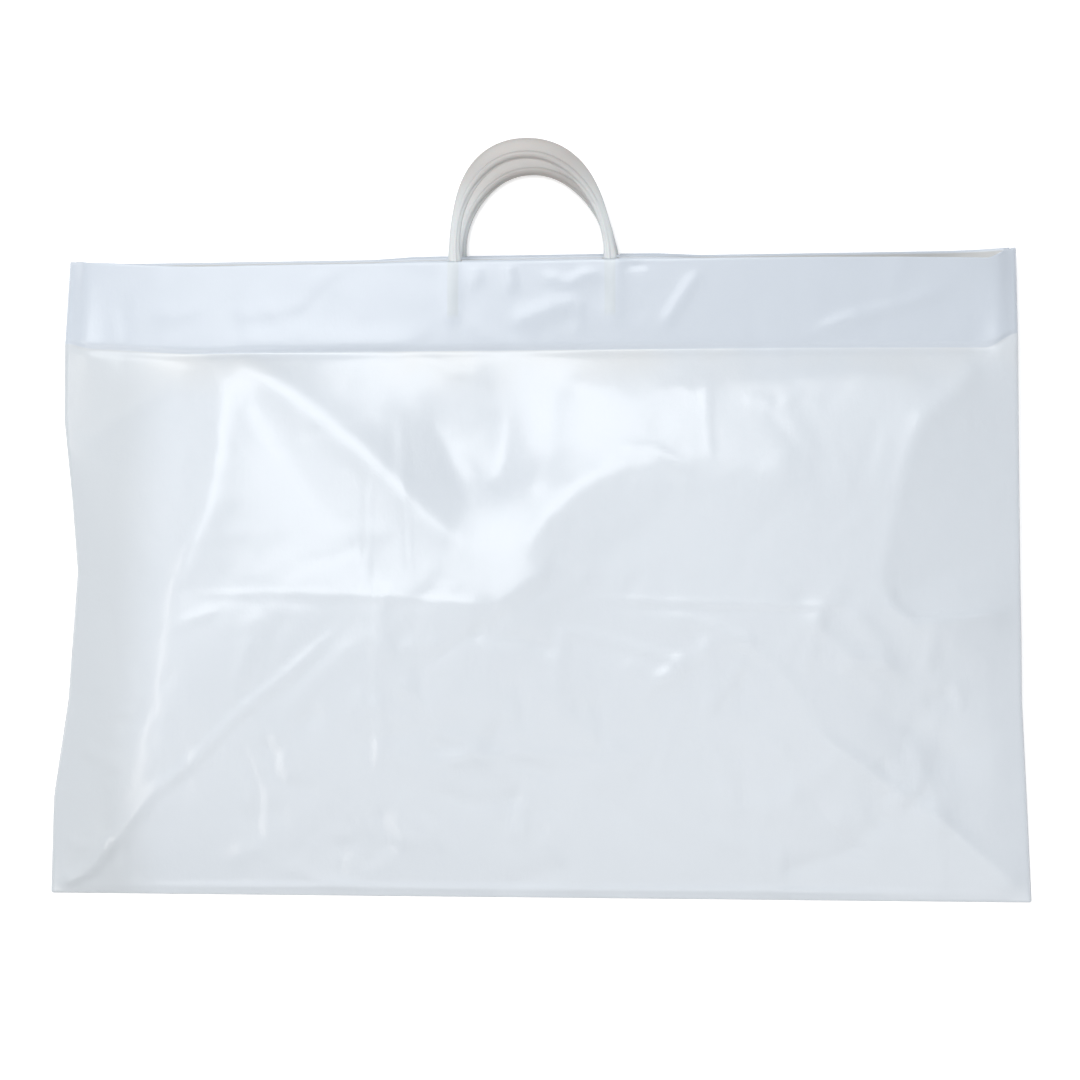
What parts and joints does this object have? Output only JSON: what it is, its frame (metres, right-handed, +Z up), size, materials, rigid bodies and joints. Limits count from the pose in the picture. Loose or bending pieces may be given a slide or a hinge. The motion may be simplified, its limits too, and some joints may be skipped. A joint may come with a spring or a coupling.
{
  "type": "plastic carrier bag",
  "caption": "Wide plastic film carrier bag with a turned-in hem and soft loop handles, lying flat with a little air inside.",
  "frame": {"origin": "middle of the rear panel's underside, halfway between the bottom fold and the mouth, on the table", "axes": "+X to the bag's right side seen from its front, +Y from the bottom fold to the handles, +Z up from the table, out of the front panel"},
  "size_m": [0.6, 0.4676, 0.0418],
  "materials": {
    "film": "glossy white film, slightly see-through",
    "handle": "soft satin white plastic"
  },
  "bodies": {
    "root": {"bag_film": "film", "handle_front": "handle", "handle_rear": "handle"}
  },
  "joints": []
}
